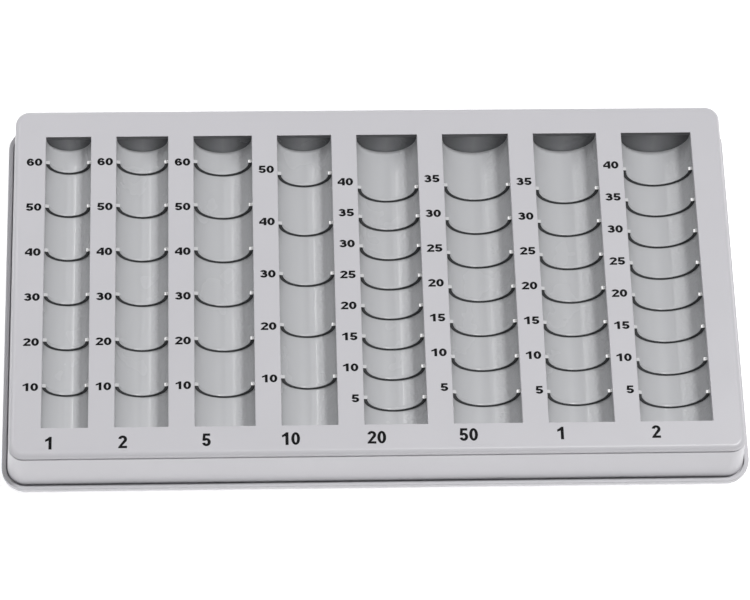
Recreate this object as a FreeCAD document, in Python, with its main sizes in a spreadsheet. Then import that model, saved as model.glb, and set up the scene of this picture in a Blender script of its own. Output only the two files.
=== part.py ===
import FreeCAD, Part
import math
import os
import Sketcher
from FreeCAD import Placement, Rotation, Vector

# Coin counting tray for a shop counter.
# A grey deck cover has eight long windows. Under each window hangs a half-round trough
# whose ribs part the coins, standing on edge, into counted cells.
# The cover stands on the four posts of a shallow base pan, which lies on four soft pads.
# Millimetres, +Z up, +X along the row of troughs, origin on the counter under the middle.

doc = FreeCAD.newDocument("CoinTray")
sheet = doc.addObject("Spreadsheet::Sheet", "Sizes")

# Driving dimensions: name, value, what it is.
sizes = [
    ("tray_height", 23.5, "counter to the top of the deck"),
    ("window_length", 118.7, "every window, front to back"),
    ("window_gap", 9.5, "deck between two windows"),
    ("deck_margin", 11.4, "deck outside the windows, all round"),
    ("deck_thickness", 2.2, "plate of the deck"),
    ("deck_corner", 5.2, "corner radius of the deck in plan"),
    ("deck_edge_round", 2.0, "rounding of the deck's outer top edge"),
    ("skirt_wall", 2.2, "wall of the cover's skirt"),
    ("skirt_flare", 1.8, "how far the skirt leans out at its foot"),
    ("skirt_lift", 0.9, "shadow gap under the skirt"),
    ("coin_clearance", 0.5, "window width over the coin's diameter"),
    ("finger_room", 8.5, "least clear length behind the last rib"),
    ("trough_wall", 1.5, "wall of a trough"),
    ("flange_width", 4.0, "flange beside a trough"),
    ("flange_thickness", 1.4, "flange beside a trough"),
    ("rib_width", 1.3, "rib, along the trough"),
    ("rib_height", 1.4, "rib, towards the trough's axis"),
    ("ear_width", 8.0, "screw ear, across the trough"),
    ("ear_length", 6.6, "screw ear, beyond the trough's end"),
    ("ear_thickness", 2.0, "screw ear"),
    ("boss_length", 5.5, "screw boss under the deck"),
    ("boss_radius", 2.75, "screw boss under the deck"),
    ("screw_radius", 1.1, "shank of a trough screw"),
    ("screw_depth", 5.0, "shank inside the boss"),
    ("screw_head_radius", 2.3, "pan head"),
    ("screw_head_height", 1.5, "pan head"),
    ("screw_head_round", 0.75, "pan head"),
    ("screw_tip_radius", 0.275, "blunt end of the shank"),
    ("screw_slot_length", 2.76, "cross recess"),
    ("screw_slot_width", 0.7, "cross recess"),
    ("screw_slot_depth", 0.7, "cross recess"),
    ("hole_clearance", 0.1, "hole radius over the radius of what goes in"),
    ("pan_floor", 1.2, "floor of the base pan"),
    ("rim_height", 2.5, "rim of the base pan, outside"),
    ("rim_wall", 1.4, "rim of the base pan"),
    ("rim_gap", 0.7, "gap between the skirt's foot and the rim"),
    ("rim_edge_round", 0.5, "rounding of the rim's outer edges"),
    ("post_radius", 2.3, "posts that carry the cover"),
    ("post_tip", 0.6, "chamfer of a post's tip"),
    ("socket_wall", 1.1, "sockets under the deck that take the posts"),
    ("socket_depth", 6.0, "sockets under the deck that take the posts"),
    ("fit_gap", 0.3, "clear space between neighbours"),
    ("pad_radius", 6.0, "soft pad under the pan"),
    ("pad_thickness", 1.1, "soft pad under the pan"),
    ("pad_recess", 0.6, "how deep a pad sits in the pan"),
    ("pad_round", 0.25, "rounding of a pad's lower edge"),
    ("pad_inset", 16.0, "pad's centre from the pan's outer edge"),
    ("coin_diameter_1_cent", 16.25, "coin"),
    ("coin_diameter_2_cent", 18.75, "coin"),
    ("coin_diameter_5_cent", 21.25, "coin"),
    ("coin_diameter_10_cent", 19.75, "coin"),
    ("coin_diameter_20_cent", 22.25, "coin"),
    ("coin_diameter_50_cent", 24.25, "coin"),
    ("coin_diameter_1_euro", 23.25, "coin"),
    ("coin_diameter_2_euro", 25.75, "coin"),
    ("coin_thickness_1_cent", 1.67, "coin"),
    ("coin_thickness_2_cent", 1.67, "coin"),
    ("coin_thickness_5_cent", 1.67, "coin"),
    ("coin_thickness_10_cent", 1.93, "coin"),
    ("coin_thickness_20_cent", 2.14, "coin"),
    ("coin_thickness_50_cent", 2.38, "coin"),
    ("coin_thickness_1_euro", 2.33, "coin"),
    ("coin_thickness_2_euro", 2.20, "coin"),
    ("cell_play_1_cent", 0.30, "cell over its stack of coins"),
    ("cell_play_2_cent", 0.30, "cell over its stack of coins"),
    ("cell_play_5_cent", 0.30, "cell over its stack of coins"),
    ("cell_play_10_cent", 0.30, "cell over its stack of coins"),
    ("cell_play_20_cent", 0.30, "cell over its stack of coins"),
    ("cell_play_50_cent", 0.95, "cell over its stack of coins"),
    ("cell_play_1_euro", 0.95, "cell over its stack of coins"),
    ("cell_play_2_euro", 0.85, "cell over its stack of coins"),
]

# Coins, from the one at the left, and how many of them stand between two ribs.
coins = [("1_cent", 10), ("2_cent", 10), ("5_cent", 10), ("10_cent", 10),
         ("20_cent", 5), ("50_cent", 5), ("1_euro", 5), ("2_euro", 5)]
coin_names = [name for name, count in coins]
counts = [("cell_coins_" + name, count, "coins between two ribs") for name, count in coins]

for row, (name, size, note) in enumerate(sizes + counts, start=1):
    sheet.set("A%d" % row, name)
    sheet.set("B%d" % row, str(size))
    sheet.set("C%d" % row, note)
    sheet.setAlias("B%d" % row, name)
doc.recompute()


# Levels and lengths worked out from the sheet, as expressions.
def window_width(coin):
    return "(Sizes.coin_diameter_%s + Sizes.coin_clearance)" % coin


def cell_length(coin):
    return "(Sizes.cell_coins_{0} * Sizes.coin_thickness_{0} + Sizes.cell_play_{0})".format(coin)


def rib_pitch(coin):
    return "(%s + Sizes.rib_width)" % cell_length(coin)


def rib_count(coin):
    # As many full cells as the window takes with room for a finger behind the last rib.
    return "floor((Sizes.window_length - Sizes.finger_room) / %s)" % rib_pitch(coin)


window_widths = " + ".join(window_width(coin) for coin in coin_names)
windows_span = "(%s + %d * Sizes.window_gap)" % (window_widths, len(coin_names) - 1)


def window_centre(coin):
    before = coin_names[:coin_names.index(coin)]
    edge = "".join(" + " + window_width(other) + " + Sizes.window_gap" for other in before)
    return "(-%s / 2%s + %s / 2)" % (windows_span, edge, window_width(coin))


deck_length = "(%s + 2 * Sizes.deck_margin)" % windows_span
deck_width = "(Sizes.window_length + 2 * Sizes.deck_margin)"
deck_underside = "(Sizes.tray_height - Sizes.deck_thickness)"
pan_underside = "(Sizes.pad_thickness - Sizes.pad_recess)"
pan_top = "(%s + Sizes.pan_floor)" % pan_underside
skirt_foot = "(%s + Sizes.skirt_lift)" % pan_top
rim_reach = "(Sizes.skirt_flare + Sizes.rim_gap + Sizes.rim_wall)"
skirt_lean = "atan(Sizes.skirt_flare / (Sizes.tray_height - %s))" % skirt_foot
pan_length = "(%s + 2 * %s)" % (deck_length, rim_reach)
pan_width = "(%s + 2 * %s)" % (deck_width, rim_reach)
trough_end = "(Sizes.window_length / 2 + Sizes.trough_wall)"
ear_top = "(%s - Sizes.boss_length)" % deck_underside
screw_place = "(%s + Sizes.ear_length / 2)" % trough_end
socket_radius = "(Sizes.post_radius + Sizes.hole_clearance + Sizes.socket_wall)"
post_x = "(%s / 2 - Sizes.skirt_wall - %s)" % (deck_length, socket_radius)
post_y = "(%s + Sizes.fit_gap + %s)" % (trough_end, socket_radius)
pad_x = "(%s / 2 - Sizes.pad_inset)" % pan_length
pad_y = "(%s / 2 - Sizes.pad_inset)" % pan_width
four_corners = [(-1, -1), (1, -1), (-1, 1), (1, 1)]


# Sketches lie on one of the body's own origin planes and are drawn about their own origin.
# On the front plane a sketch's x is X, its y is Z and its normal looks to the front.
def add_sketch(body, name, plane, x="0", y="0", z="0"):
    sketch = body.newObject("Sketcher::SketchObject", name)
    for feature in body.Origin.OriginFeatures:
        if feature.Role == plane:
            sketch.AttachmentSupport = [(feature, "")]
    sketch.MapMode = "FlatFace"
    sketch.setExpression("AttachmentOffset.Base.x", x)
    sketch.setExpression("AttachmentOffset.Base.y", y)
    sketch.setExpression("AttachmentOffset.Base.z", z)
    return sketch


def bind(sketch, kind, places, expression, start):
    index = sketch.addConstraint(Sketcher.Constraint(kind, *places, start))
    sketch.setExpression("Constraints[%d]" % index, expression)


def draw_rectangle(sketch, width, height):
    corners = [Vector(-1, -1, 0), Vector(1, -1, 0), Vector(1, 1, 0), Vector(-1, 1, 0)]
    for corner in range(4):
        sketch.addGeometry(Part.LineSegment(corners[corner], corners[(corner + 1) % 4]), False)
    for corner in range(4):
        sketch.addConstraint(Sketcher.Constraint("Coincident", corner, 2, (corner + 1) % 4, 1))
    for line, kind in enumerate(["Horizontal", "Vertical", "Horizontal", "Vertical"]):
        sketch.addConstraint(Sketcher.Constraint(kind, line))
    sketch.addConstraint(Sketcher.Constraint("Symmetric", 0, 1, 1, 2, -1, 1))
    bind(sketch, "DistanceX", (0, 1, 0, 2), width, 2.0)
    bind(sketch, "DistanceY", (1, 1, 1, 2), height, 2.0)


def draw_round_rectangle(sketch, length, width, corner_radius):
    # Four straights, then four quarter arcs, anticlockwise from the front straight.
    reach, straight, quarter = 20.0, 15.0, math.pi / 2
    turns = [Rotation(Vector(0, 0, 1), 90 * side) for side in range(4)]
    for turn in turns:
        ends = turn.multVec(Vector(-straight, -reach, 0)), turn.multVec(Vector(straight, -reach, 0))
        sketch.addGeometry(Part.LineSegment(*ends), False)
    for side, turn in enumerate(turns):
        circle = Part.Circle(turn.multVec(Vector(straight, -straight, 0)), Vector(0, 0, 1), reach - straight)
        sketch.addGeometry(Part.ArcOfCircle(circle, (side - 1) * quarter, side * quarter), False)
    for side in range(4):
        sketch.addConstraint(Sketcher.Constraint("Tangent", side, 2, side + 4, 1))
        sketch.addConstraint(Sketcher.Constraint("Tangent", side + 4, 2, (side + 1) % 4, 1))
    for side, kind in enumerate(["Horizontal", "Vertical", "Horizontal", "Vertical"]):
        sketch.addConstraint(Sketcher.Constraint(kind, side))
    for side in range(1, 4):
        sketch.addConstraint(Sketcher.Constraint("Equal", 4, side + 4))
    sketch.addConstraint(Sketcher.Constraint("Symmetric", 7, 3, 5, 3, -1, 1))
    bind(sketch, "Radius", (4,), corner_radius, reach - straight)
    bind(sketch, "DistanceX", (7, 3, 4, 3), "%s - 2 * %s" % (length, corner_radius), 2 * straight)
    bind(sketch, "DistanceY", (4, 3, 5, 3), "%s - 2 * %s" % (width, corner_radius), 2 * straight)


def draw_half_disc(sketch, radius):
    start = 10.0
    circle = Part.Circle(Vector(0, 0, 0), Vector(0, 0, 1), start)
    sketch.addGeometry(Part.ArcOfCircle(circle, math.pi, 2 * math.pi), False)
    sketch.addGeometry(Part.LineSegment(Vector(start, 0, 0), Vector(-start, 0, 0)), False)
    sketch.addConstraint(Sketcher.Constraint("Coincident", 0, 3, -1, 1))
    sketch.addConstraint(Sketcher.Constraint("Coincident", 0, 2, 1, 1))
    sketch.addConstraint(Sketcher.Constraint("Coincident", 1, 2, 0, 1))
    sketch.addConstraint(Sketcher.Constraint("PointOnObject", 0, 1, -1))
    sketch.addConstraint(Sketcher.Constraint("PointOnObject", 0, 2, -1))
    bind(sketch, "Radius", (0,), radius, start)


def draw_half_ring(sketch, outer_radius, inner_radius):
    outer_start, inner_start = 10.0, 8.0
    for radius in (outer_start, inner_start):
        circle = Part.Circle(Vector(0, 0, 0), Vector(0, 0, 1), radius)
        sketch.addGeometry(Part.ArcOfCircle(circle, math.pi, 2 * math.pi), False)
    sketch.addGeometry(Part.LineSegment(Vector(-outer_start, 0, 0), Vector(-inner_start, 0, 0)), False)
    sketch.addGeometry(Part.LineSegment(Vector(inner_start, 0, 0), Vector(outer_start, 0, 0)), False)
    for arc in (0, 1):
        sketch.addConstraint(Sketcher.Constraint("Coincident", arc, 3, -1, 1))
        sketch.addConstraint(Sketcher.Constraint("PointOnObject", arc, 1, -1))
        sketch.addConstraint(Sketcher.Constraint("PointOnObject", arc, 2, -1))
    sketch.addConstraint(Sketcher.Constraint("Coincident", 2, 1, 0, 1))
    sketch.addConstraint(Sketcher.Constraint("Coincident", 2, 2, 1, 1))
    sketch.addConstraint(Sketcher.Constraint("Coincident", 3, 1, 1, 2))
    sketch.addConstraint(Sketcher.Constraint("Coincident", 3, 2, 0, 2))
    bind(sketch, "Radius", (0,), outer_radius, outer_start)
    bind(sketch, "Radius", (1,), inner_radius, inner_start)


def draw_circle(sketch, radius, x="0", y="0", side_x=1, side_y=1):
    # side_x and side_y put the circle at the right or left, back or front.
    start, start_radius = 30.0, 1.0
    circle = Part.Circle(Vector(start * side_x, start * side_y, 0), Vector(0, 0, 1), start_radius)
    index = sketch.addGeometry(circle, False)
    bind(sketch, "Radius", (index,), radius, start_radius)
    if x == "0":
        sketch.addConstraint(Sketcher.Constraint("PointOnObject", index, 3, -2))
    else:
        places = (-1, 1, index, 3) if side_x > 0 else (index, 3, -1, 1)
        bind(sketch, "DistanceX", places, x, start)
    if y == "0":
        sketch.addConstraint(Sketcher.Constraint("PointOnObject", index, 3, -1))
    else:
        places = (-1, 1, index, 3) if side_y > 0 else (index, 3, -1, 1)
        bind(sketch, "DistanceY", places, y, start)


def extrude(body, kind, name, sketch, length, reverse=False):
    feature = body.newObject(kind, name)
    feature.Profile = sketch
    feature.Reversed = reverse
    feature.setExpression("Length", length)
    body.Tip = feature
    return feature


def pad(body, name, sketch, length, reverse=False):
    return extrude(body, "PartDesign::Pad", name, sketch, length, reverse)


def pocket(body, name, sketch, length, reverse=False):
    before = body.Shape.Volume
    feature = extrude(body, "PartDesign::Pocket", name, sketch, length, reverse)
    doc.recompute()
    if body.Shape.Volume > before - 1e-3:
        raise RuntimeError(name + " cuts nothing")
    return feature


def dress_edges(body, kind, name, base, amount, wanted):
    doc.recompute()
    edges = ["Edge%d" % number for number, edge in enumerate(base.Shape.Edges, start=1) if wanted(edge)]
    feature = body.newObject(kind, name)
    feature.Base = (base, edges)
    feature.setExpression("Radius" if kind.endswith("Fillet") else "Size", amount)
    body.Tip = feature
    return feature


def round_edges(body, name, base, radius, wanted):
    return dress_edges(body, "PartDesign::Fillet", name, base, radius, wanted)


def lies_at(edge, level):
    return abs(edge.BoundBox.ZMin - level) < 1e-4 and abs(edge.BoundBox.ZMax - level) < 1e-4


def new_body(label):
    body = doc.addObject("PartDesign::Body", label)
    body.Label = label
    return body


def measure(expression):
    return float(sheet.evalExpression(expression))


# Deck cover: flared skirt, deck with eight windows, screw bosses and post sockets.
def make_deck_cover():
    body = new_body("deck_cover")
    top = add_sketch(body, "deck_outline", "XY_Plane", z="Sizes.tray_height")
    draw_round_rectangle(top, deck_length, deck_width, "Sizes.deck_corner")
    block = pad(body, "cover_block", top, "Sizes.tray_height - " + skirt_foot, reverse=True)
    block.setExpression("TaperAngle", skirt_lean)
    top_level = measure("Sizes.tray_height")
    round_edges(body, "deck_edge", block, "Sizes.deck_edge_round", lambda edge: lies_at(edge, top_level))
    doc.recompute()
    inner = add_sketch(body, "hollow_outline", "XY_Plane", z=deck_underside)
    draw_round_rectangle(inner, "(%s - 2 * Sizes.skirt_wall)" % deck_length,
                         "(%s - 2 * Sizes.skirt_wall)" % deck_width, "(Sizes.deck_corner - Sizes.skirt_wall)")
    hollow = pocket(body, "cover_hollow", inner, "%s - %s" % (deck_underside, skirt_foot))
    hollow.setExpression("TaperAngle", skirt_lean)
    doc.recompute()
    for coin in coin_names:
        centre = window_centre(coin)
        window = add_sketch(body, "window_outline_" + coin, "XY_Plane", x=centre, z="Sizes.tray_height")
        draw_rectangle(window, window_width(coin), "Sizes.window_length")
        pocket(body, "window_" + coin, window, "Sizes.deck_thickness")
    for coin in coin_names:
        centre = window_centre(coin)
        bosses = add_sketch(body, "boss_outline_" + coin, "XY_Plane", x=centre, z=deck_underside)
        for side in (-1, 1):
            draw_circle(bosses, "Sizes.boss_radius", y=screw_place, side_y=side)
            draw_circle(bosses, "Sizes.screw_radius + Sizes.hole_clearance", y=screw_place, side_y=side)
        pad(body, "bosses_" + coin, bosses, "Sizes.boss_length", reverse=True)
    sockets = add_sketch(body, "socket_outline", "XY_Plane", z=deck_underside)
    for side_x, side_y in four_corners:
        draw_circle(sockets, socket_radius, post_x, post_y, side_x, side_y)
        draw_circle(sockets, "Sizes.post_radius + Sizes.hole_clearance", post_x, post_y, side_x, side_y)
    pad(body, "post_sockets", sockets, "Sizes.socket_depth", reverse=True)
    return body


# Trough: half-round shell with end walls, side flanges, ribs and a screw ear at each end.
def make_trough(coin):
    body = new_body("coin_trough_" + coin)
    centre = window_centre(coin)
    radius = "(%s / 2)" % window_width(coin)
    shell = add_sketch(body, "shell_outline_" + coin, "XZ_Plane", x=centre, y=deck_underside, z=trough_end)
    draw_half_disc(shell, "(%s + Sizes.trough_wall)" % radius)
    pad(body, "shell_" + coin, shell, "2 * " + trough_end, reverse=True)
    flange = add_sketch(body, "flange_outline_" + coin, "XY_Plane", x=centre, z=deck_underside)
    draw_rectangle(flange, "%s + 2 * Sizes.flange_width" % window_width(coin), "2 * " + trough_end)
    pad(body, "flange_" + coin, flange, "Sizes.flange_thickness", reverse=True)
    for end, side in (("front", -1), ("back", 1)):
        middle = "%d * %s" % (side, screw_place)
        ear = add_sketch(body, "ear_outline_%s_%s" % (end, coin), "XY_Plane", x=centre, y=middle, z=ear_top)
        draw_rectangle(ear, "Sizes.ear_width", "Sizes.ear_length")
        draw_circle(ear, "Sizes.screw_radius + Sizes.hole_clearance")
        pad(body, "ear_%s_%s" % (end, coin), ear, "Sizes.ear_thickness", reverse=True)
    doc.recompute()
    mouth = "Sizes.window_length / 2"
    hollow = add_sketch(body, "hollow_outline_" + coin, "XZ_Plane", x=centre, y=deck_underside, z=mouth)
    draw_half_disc(hollow, radius)
    pocket(body, "hollow_" + coin, hollow, "Sizes.window_length")
    first_rib = "%s - %s" % (mouth, cell_length(coin))
    ring = add_sketch(body, "rib_outline_" + coin, "XZ_Plane", x=centre, y=deck_underside, z=first_rib)
    # The ring's outside lies half way into the trough's wall, so rib and wall are one.
    draw_half_ring(ring, "%s + Sizes.trough_wall / 2" % radius, "%s - Sizes.rib_height" % radius)
    rib = pad(body, "rib_" + coin, ring, "Sizes.rib_width", reverse=True)
    doc.recompute()
    ribs = body.newObject("PartDesign::LinearPattern", "ribs_" + coin)
    ribs.Originals = [rib]
    for feature in body.Origin.OriginFeatures:
        if feature.Role == "Y_Axis":
            ribs.Direction = (feature, [""])
    ribs.setExpression("Occurrences", rib_count(coin))
    ribs.setExpression("Length", "(%s - 1) * %s" % (rib_count(coin), rib_pitch(coin)))
    body.Tip = ribs
    doc.recompute()
    return body


# Base pan: floor with a low rim, four posts for the cover, recesses for the pads.
def make_base_pan():
    body = new_body("base_pan")
    outline = add_sketch(body, "pan_outline", "XY_Plane", z=pan_underside)
    draw_round_rectangle(outline, pan_length, pan_width, "(Sizes.deck_corner + %s)" % rim_reach)
    block = pad(body, "pan_block", outline, "Sizes.rim_height")
    doc.recompute()
    pan_bottom = body.Shape.BoundBox.ZMin
    rim_top = body.Shape.BoundBox.ZMax
    round_edges(body, "rim_edges", block, "Sizes.rim_edge_round",
                lambda edge: lies_at(edge, rim_top) or lies_at(edge, pan_bottom))
    doc.recompute()
    well = add_sketch(body, "well_outline", "XY_Plane", z="%s + Sizes.rim_height" % pan_underside)
    draw_round_rectangle(well, "(%s - 2 * Sizes.rim_wall)" % pan_length,
                         "(%s - 2 * Sizes.rim_wall)" % pan_width,
                         "(Sizes.deck_corner + Sizes.skirt_flare + Sizes.rim_gap)")
    pocket(body, "well", well, "Sizes.rim_height - Sizes.pan_floor")
    recess = add_sketch(body, "pad_recess_outline", "XY_Plane", z=pan_underside)
    for side_x, side_y in four_corners:
        draw_circle(recess, "Sizes.pad_radius + Sizes.hole_clearance", pad_x, pad_y, side_x, side_y)
    pocket(body, "pad_recesses", recess, "Sizes.pad_recess", reverse=True)
    posts = add_sketch(body, "post_outline", "XY_Plane", z=pan_top)
    for side_x, side_y in four_corners:
        draw_circle(posts, "Sizes.post_radius", post_x, post_y, side_x, side_y)
    post = pad(body, "posts", posts, "%s - %s" % (deck_underside, pan_top))
    doc.recompute()
    tip_level = body.Shape.BoundBox.ZMax
    dress_edges(body, "PartDesign::Chamfer", "post_tips", post, "Sizes.post_tip",
                lambda edge: lies_at(edge, tip_level))
    return body


# Soft pad, seated in its recess and standing proud of the pan.
def make_foot_pad(place, side_x, side_y):
    body = new_body("foot_pad_" + place)
    outline = add_sketch(body, "pad_outline_" + place, "XY_Plane")
    draw_circle(outline, "Sizes.pad_radius", pad_x, pad_y, side_x, side_y)
    disc = pad(body, "pad_disc_" + place, outline, "Sizes.pad_thickness")
    round_edges(body, "pad_edge_" + place, disc, "Sizes.pad_round", lambda edge: lies_at(edge, 0.0))
    return body


# Trough screws: one pan-head screw, repeated at both ears of every trough.
def make_screw():
    radius = measure("Sizes.screw_radius")
    head_height = measure("Sizes.screw_head_height")
    shank_length = measure("Sizes.ear_thickness + Sizes.screw_depth")
    head = Part.makeCylinder(measure("Sizes.screw_head_radius"), head_height, Vector(0, 0, -head_height))
    rim = [edge for edge in head.Edges if lies_at(edge, -head_height)]
    head = head.makeFillet(measure("Sizes.screw_head_round"), rim)
    shank = Part.makeCylinder(radius, shank_length - radius, Vector(0, 0, 0))
    point = Vector(0, 0, shank_length - radius)
    tip = Part.makeCone(radius, measure("Sizes.screw_tip_radius"), radius, point)
    screw = head.fuse([shank, tip])
    slot_length = measure("Sizes.screw_slot_length")
    slot_width = measure("Sizes.screw_slot_width")
    slot_depth = measure("Sizes.screw_slot_depth")
    for length, width in ((slot_length, slot_width), (slot_width, slot_length)):
        corner = Vector(-length / 2, -width / 2, -head_height)
        screw = screw.cut(Part.makeBox(length, width, slot_depth, corner))
    return screw.removeSplitter()


def make_screws():
    screw = make_screw()
    under_ear = measure("%s - Sizes.ear_thickness" % ear_top)
    place_y = measure(screw_place)
    copies = []
    for coin in coin_names:
        for side in (-1, 1):
            copy = screw.copy()
            place = Vector(measure(window_centre(coin)), side * place_y, under_ear)
            copy.Placement = Placement(place, Rotation())
            copies.append(copy)
    group = doc.addObject("Part::Feature", "trough_screws")
    group.Label = "trough_screws"
    group.Shape = Part.makeCompound(copies)
    return group


sub_parts = [make_deck_cover()]
sub_parts += [make_trough(coin) for coin in coin_names]
sub_parts.append(make_screws())
sub_parts.append(make_base_pan())
for place, (side_x, side_y) in zip(("front_left", "front_right", "back_left", "back_right"), four_corners):
    sub_parts.append(make_foot_pad(place, side_x, side_y))
doc.recompute()

failed = [item.Name for item in doc.Objects if "Invalid" in item.State or "Error" in item.State]
if failed:
    raise RuntimeError("failed objects: " + ", ".join(failed))
for part in sub_parts:
    if part.Shape.isNull() or not part.Shape.isValid():
        raise RuntimeError(part.Label + " has no valid shape")

os.makedirs("parts", exist_ok=True)
for part in sub_parts:
    part.Shape.exportStep("parts/" + part.Label + ".step")
    box = part.Shape.BoundBox
    print("%-22s %2d solids %10.1f mm3  x %.2f..%.2f  y %.2f..%.2f  z %.2f..%.2f" % (
        part.Label, len(part.Shape.Solids), part.Shape.Volume,
        box.XMin, box.XMax, box.YMin, box.YMax, box.ZMin, box.ZMax))
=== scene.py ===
import math

import bmesh
import bpy
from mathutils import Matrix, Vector


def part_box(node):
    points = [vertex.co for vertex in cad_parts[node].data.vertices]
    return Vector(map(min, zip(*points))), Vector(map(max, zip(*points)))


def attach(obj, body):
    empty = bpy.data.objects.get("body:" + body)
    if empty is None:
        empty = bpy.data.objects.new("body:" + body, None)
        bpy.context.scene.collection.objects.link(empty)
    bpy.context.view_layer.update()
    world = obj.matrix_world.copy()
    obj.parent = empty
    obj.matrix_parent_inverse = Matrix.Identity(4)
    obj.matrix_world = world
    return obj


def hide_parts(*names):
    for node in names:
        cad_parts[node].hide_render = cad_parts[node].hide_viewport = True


# Coin counting tray: a grey cover with eight windows, a ribbed trough under each,
# and a shallow base pan. Everything is in metres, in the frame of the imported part.

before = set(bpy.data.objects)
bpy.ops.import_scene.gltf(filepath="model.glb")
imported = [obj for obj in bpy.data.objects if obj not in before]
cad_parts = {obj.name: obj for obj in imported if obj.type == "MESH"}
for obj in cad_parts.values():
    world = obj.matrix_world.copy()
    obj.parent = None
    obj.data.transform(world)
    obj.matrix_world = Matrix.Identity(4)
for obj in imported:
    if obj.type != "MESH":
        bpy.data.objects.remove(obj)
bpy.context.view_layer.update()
scene = bpy.context.scene
scene.view_settings.view_transform = "Standard"
mm = 0.001
shellAngle, roundAngle = 32, 40    # degrees up to which faces shade as one
print("frame loaded:", len(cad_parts), "nodes")

coinNames = ["1_cent", "2_cent", "5_cent", "10_cent", "20_cent", "50_cent", "1_euro", "2_euro"]


# Small helpers for working in edit mode
def activate(piece):
    if bpy.context.object and bpy.context.object.mode != "OBJECT":
        bpy.ops.object.mode_set(mode="OBJECT")
    bpy.ops.object.select_all(action="DESELECT")
    piece.select_set(True)
    bpy.context.view_layer.objects.active = piece


def startEdit(piece):
    activate(piece)
    bpy.ops.object.mode_set(mode="EDIT")
    bpy.ops.mesh.select_all(action="DESELECT")


def endEdit():
    bpy.ops.object.mode_set(mode="OBJECT")


def pick(kind, wanted):
    # selects what passes the test
    bpy.ops.mesh.select_mode(type=kind)
    bpy.ops.mesh.select_all(action="DESELECT")
    mesh = bpy.context.object.data
    edited = bmesh.from_edit_mesh(mesh)
    items = {"VERT": edited.verts, "EDGE": edited.edges, "FACE": edited.faces}[kind]
    for item in items:
        if wanted(item):
            item.select_set(True)
    edited.select_flush_mode()
    bmesh.update_edit_mesh(mesh)


def near(a, b, reach=1e-5):
    return abs(a - b) < reach


def levelEdge(edge, z):
    return all(near(vert.co.z, z) for vert in edge.verts)


def settle():
    # puts the active object's place, turn and scale into its mesh
    bpy.ops.object.transform_apply(location=True, rotation=True, scale=True)


def addPlate(name, width, depth, z):
    bpy.ops.mesh.primitive_plane_add(size=1, location=(0, 0, z))
    plate = bpy.context.object
    plate.name = plate.data.name = name
    plate.scale = (width, depth, 1)
    settle()
    return plate


def applyAll(piece):
    activate(piece)
    for modifier in list(piece.modifiers):
        bpy.ops.object.modifier_apply(modifier=modifier.name)


def tidyMesh(piece):
    startEdit(piece)
    bpy.ops.mesh.select_all(action="SELECT")
    bpy.ops.mesh.remove_doubles(threshold=2e-6)
    bpy.ops.mesh.normals_make_consistent(inside=False)
    endEdit()


def smoothFaces(piece, angle=shellAngle):
    activate(piece)
    bpy.ops.object.shade_smooth_by_angle(angle=math.radians(angle))
    applyAll(piece)
    weighted = piece.modifiers.new("evenShade", "WEIGHTED_NORMAL")
    weighted.keep_sharp = True
    weighted.weight = 60
    bpy.ops.object.modifier_apply(modifier=weighted.name)


def joinPieces(first, others, name):
    activate(first)
    for other in others:
        other.select_set(True)
    bpy.ops.object.join()
    first.name = first.data.name = name
    return first


def copyPiece(source, move, turn=0):
    copied = source.copy()
    copied.data = source.data.copy()
    scene.collection.objects.link(copied)
    copied.location = Vector(move)
    copied.rotation_euler = (0, 0, turn)
    activate(copied)
    settle()
    return copied


def cutWith(piece, cutters):
    for cutter in cutters:
        boolean = piece.modifiers.new("cut", "BOOLEAN")
        boolean.operation = "DIFFERENCE"
        boolean.solver = "EXACT"
        boolean.object = cutter
    applyAll(piece)
    for cutter in cutters:
        bpy.data.objects.remove(cutter, do_unlink=True)


# Shader node groups used by several materials
def newGroup(name, inputs, outputs):
    group = bpy.data.node_groups.new(name, "ShaderNodeTree")
    for socketName, kind, value in inputs:
        socket = group.interface.new_socket(socketName, in_out="INPUT", socket_type=kind)
        socket.default_value = value
    for socketName, kind in outputs:
        group.interface.new_socket(socketName, in_out="OUTPUT", socket_type=kind)
    return group, group.nodes.new("NodeGroupInput"), group.nodes.new("NodeGroupOutput")


def mathNode(tree, operation, first, second):
    node = tree.nodes.new("ShaderNodeMath")
    node.operation = operation
    for index, value in enumerate((first, second)):
        if isinstance(value, (int, float)):
            node.inputs[index].default_value = value
        else:
            tree.links.new(value, node.inputs[index])
    return node.outputs[0]


def noiseNode(tree, vector, scale, detail=4.0, roughness=0.5):
    node = tree.nodes.new("ShaderNodeTexNoise")
    node.inputs["Scale"].default_value = scale
    node.inputs["Detail"].default_value = detail
    node.inputs["Roughness"].default_value = roughness
    tree.links.new(vector, node.inputs["Vector"])
    return node.outputs["Fac"]


def rangeNode(tree, value, low, high, toLow, toHigh):
    node = tree.nodes.new("ShaderNodeMapRange")
    tree.links.new(value, node.inputs["Value"])
    node.inputs["From Min"].default_value = low
    node.inputs["From Max"].default_value = high
    node.inputs["To Min"].default_value = toLow
    node.inputs["To Max"].default_value = toHigh
    return node.outputs["Result"]


def makeGrainGroup():
    # fine texture that a moulding tool leaves on plastic
    group, entry, result = newGroup(
        "mouldedGrain",
        [("Vector", "NodeSocketVector", (0, 0, 0)), ("Scale", "NodeSocketFloat", 2500.0)],
        [("Height", "NodeSocketFloat")])
    coarse = group.nodes.new("ShaderNodeTexNoise")
    coarse.inputs["Detail"].default_value = 3.0
    fine = group.nodes.new("ShaderNodeTexVoronoi")
    for node in (coarse, fine):
        group.links.new(entry.outputs["Vector"], node.inputs["Vector"])
        group.links.new(entry.outputs["Scale"], node.inputs["Scale"])
    height = mathNode(group, "MULTIPLY", fine.outputs["Distance"], 0.5)
    height = mathNode(group, "ADD", height, coarse.outputs["Fac"])
    group.links.new(height, result.inputs["Height"])
    return group


drift = {"slowScale": 9.0, "slowShare": 0.7, "quickScale": 70.0, "quickShare": 0.3, "middle": 0.5}


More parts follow.
